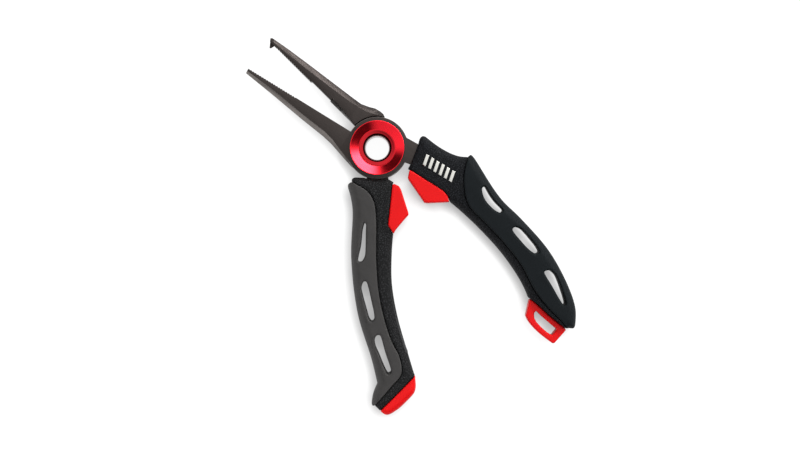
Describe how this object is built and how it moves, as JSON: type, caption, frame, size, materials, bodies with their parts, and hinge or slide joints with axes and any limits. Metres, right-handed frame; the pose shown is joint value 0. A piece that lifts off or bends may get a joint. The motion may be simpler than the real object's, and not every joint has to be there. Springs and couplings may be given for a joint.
{
  "type": "fishing pliers",
  "caption": "Split-ring fishing pliers: slim toothed jaws with a hooked tip, hollow dished red hub, slotted soft handles with red magnet pods, lanyard loop and heel cap.",
  "frame": {"origin": "on the pivot axis, midway between the two lever discs", "axes": "+Z along the pivot towards the dished side of the hub, +Y along the gripping face of the plain jaw towards its tip, +X away from the plain jaw"},
  "size_m": [0.1004, 0.1562, 0.0128],
  "materials": {
    "jaw_steel": "dark bronze-grey coated steel, fine ground, semi-matte",
    "red_aluminium": "turned and red anodised, glossy",
    "washer_steel": "plain bright steel",
    "core_plastic": "rigid black moulding",
    "black_grip": "black soft moulding with a fine pebbled texture",
    "black_pad": "smooth black soft moulding",
    "grey_grip": "dark grey soft moulding with a fine pebbled texture",
    "grey_pad": "smooth dark grey soft moulding",
    "red_plastic": "satin red moulding",
    "magnet": "nickel-plated magnet",
    "silver_inlay": "brushed silver bars"
  },
  "bodies": {
    "front_half": {"front_lever": "jaw_steel", "hub_sleeve": "red_aluminium", "hub_ring": "red_aluminium", "front_washer": "washer_steel", "lap_washer": "washer_steel", "back_washer": "washer_steel", "front_core": "core_plastic", "front_grip": "black_grip", "front_palm_pad": "black_pad", "front_pod": "red_plastic", "front_magnet": "magnet", "lanyard_loop": "red_plastic", "side_inlay": "silver_inlay"},
    "back_half": {"back_lever": "jaw_steel", "back_core": "core_plastic", "back_grip": "grey_grip", "back_palm_pad": "grey_pad", "back_pod": "red_plastic", "back_magnet": "magnet", "heel_cap": "red_plastic"}
  },
  "joints": [
    {"name": "jaw_pivot", "type": "hinge", "parent": "front_half", "child": "back_half", "pos_m": [0, 0, 0], "axis": [0, 0, 1], "range_deg": [0, 13], "stiffness_Nm_per_rad": 0.78, "springref_deg": -2.29}
  ]
}
